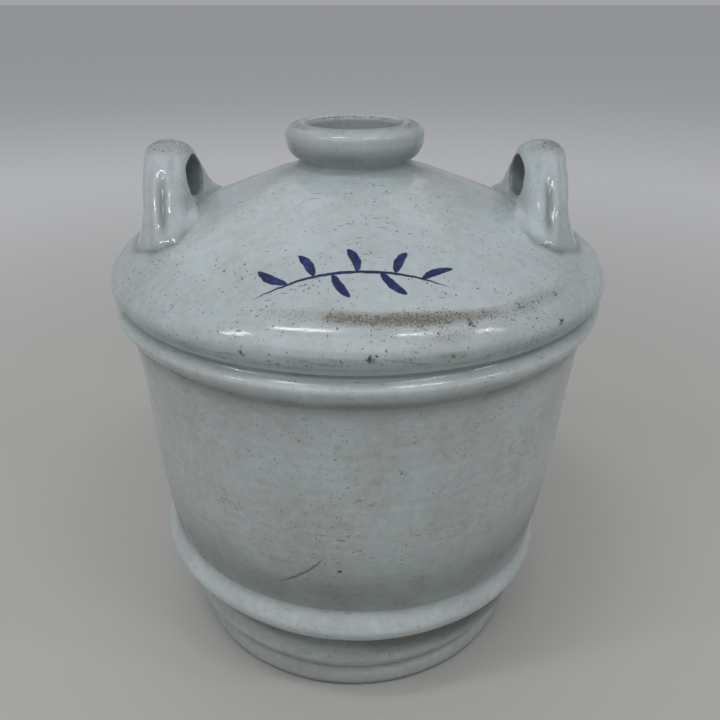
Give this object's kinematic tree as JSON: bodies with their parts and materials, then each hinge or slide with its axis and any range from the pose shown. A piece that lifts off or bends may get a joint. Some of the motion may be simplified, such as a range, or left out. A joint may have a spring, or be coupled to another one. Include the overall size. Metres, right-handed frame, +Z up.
{
  "type": "ceramic wine jar",
  "caption": "Glazed stoneware jar with a domed shoulder, short rolled mouth, pierced carrying ears and raised hoops, for storing and pouring wine.",
  "frame": {"origin": "middle of the foot, on the table", "axes": "+Z up along the jar's axis, ears on the X axis, -Y towards the side that the picture shows"},
  "size_m": [0.3378, 0.3378, 0.3766],
  "materials": {
    "foot_glaze": "thin worn grey-green glaze over a rubbed clay edge",
    "bare_clay": "bare fired stoneware, matt",
    "wall_glaze": "pale grey-green glaze, satin gloss, specked",
    "hoop_glaze": "pale grey-green glaze, glossy, dirt in the creases",
    "shoulder_glaze": "pale blue-grey glaze, glossy, specked and scratched, with blue brush strokes",
    "neck_glaze": "pale grey-green glaze, glossy, dirt on the rolled edge",
    "ear_glaze": "pale grey-green glaze pooled in the grooves, glossy, worn on top"
  },
  "bodies": {
    "root": {"foot_ring": "foot_glaze", "floor_disc": "bare_clay", "foot_wall": "wall_glaze", "body_wall": "wall_glaze", "lower_hoop": "hoop_glaze", "upper_hoop": "hoop_glaze", "shoulder_dome": "shoulder_glaze", "neck_collar": "neck_glaze", "mouth_ring": "neck_glaze", "left_ear": "ear_glaze", "right_ear": "ear_glaze"}
  },
  "joints": []
}
